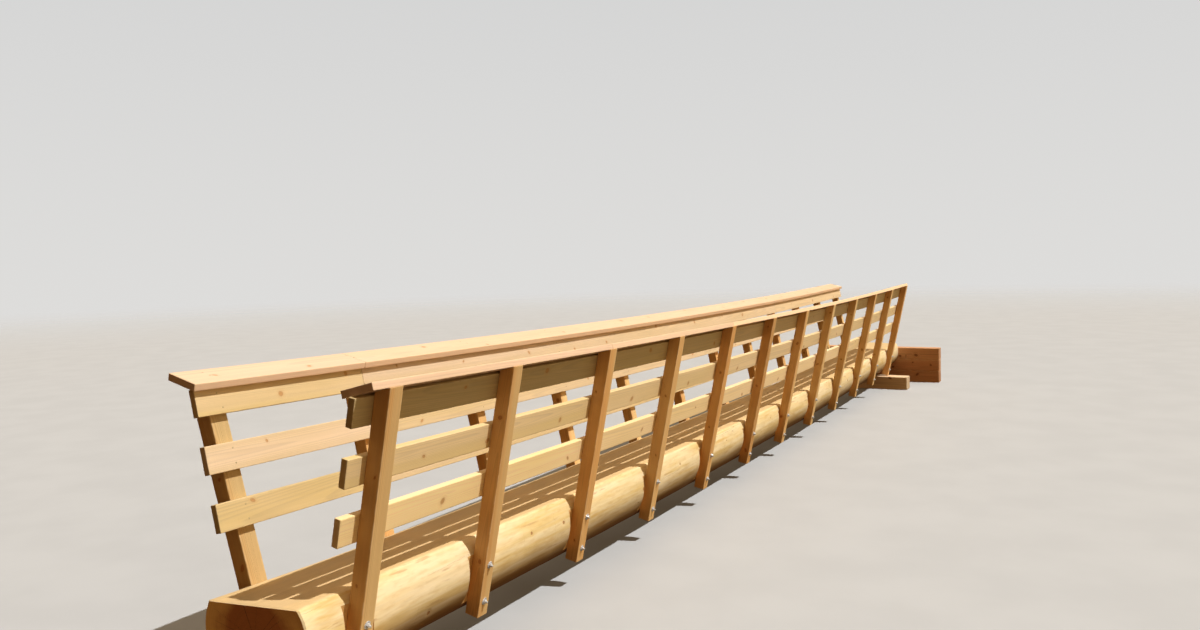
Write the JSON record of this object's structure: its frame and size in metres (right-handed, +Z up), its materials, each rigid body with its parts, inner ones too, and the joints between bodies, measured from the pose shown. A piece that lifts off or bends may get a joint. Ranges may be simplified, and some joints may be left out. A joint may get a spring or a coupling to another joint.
{
  "type": "wooden log footbridge with leaning post railings",
  "caption": "Trail footbridge: a peeled log with a sawn flat walkway, leaning posts seated in its notches, rails and a sloped cap along each side, timber sills and a stacked timber end wall",
  "frame": {"origin": "middle of the whole footprint, at the underside of the sills, which is the ground that the bridge stands on", "axes": "+X runs along the bridge from the near end to the end with the timber wall, +Y points to the left side when walking that way, +Z is up"},
  "size_m": [13.355, 1.9, 1.6931],
  "materials": {
    "log_wood": "peeled log, smooth and dry, with fine golden streaks",
    "post_wood": "sawn softwood post, warm and dry",
    "rail_wood": "fresh sawn softwood board, pale, with small knots",
    "abutment_wood": "heavy sawn timber, darkened by soil and weather"
  },
  "bodies": {
    "root": {"stringer_log": "log_wood", "near_sill": "abutment_wood", "far_sill": "abutment_wood", "wall_timber_low": "abutment_wood", "wall_timber_mid": "abutment_wood", "wall_timber_top": "abutment_wood", "right_post_01": "post_wood", "right_post_02": "post_wood", "right_post_03": "post_wood", "right_post_04": "post_wood", "right_post_05": "post_wood", "right_post_06": "post_wood", "right_post_07": "post_wood", "right_post_08": "post_wood", "right_post_09": "post_wood", "right_post_10": "post_wood", "right_post_11": "post_wood", "right_post_12": "post_wood", "left_post_01": "post_wood", "left_post_02": "post_wood", "left_post_03": "post_wood", "left_post_04": "post_wood", "left_post_05": "post_wood", "left_post_06": "post_wood", "left_post_07": "post_wood", "left_post_08": "post_wood", "left_post_09": "post_wood", "left_post_10": "post_wood", "left_post_11": "post_wood", "left_post_12": "post_wood", "right_cap": "rail_wood", "right_rail_top": "rail_wood", "right_rail_mid": "rail_wood", "right_rail_low": "rail_wood", "left_cap": "rail_wood", "left_rail_top": "rail_wood", "left_rail_mid": "rail_wood", "left_rail_low": "rail_wood"}
  },
  "joints": []
}
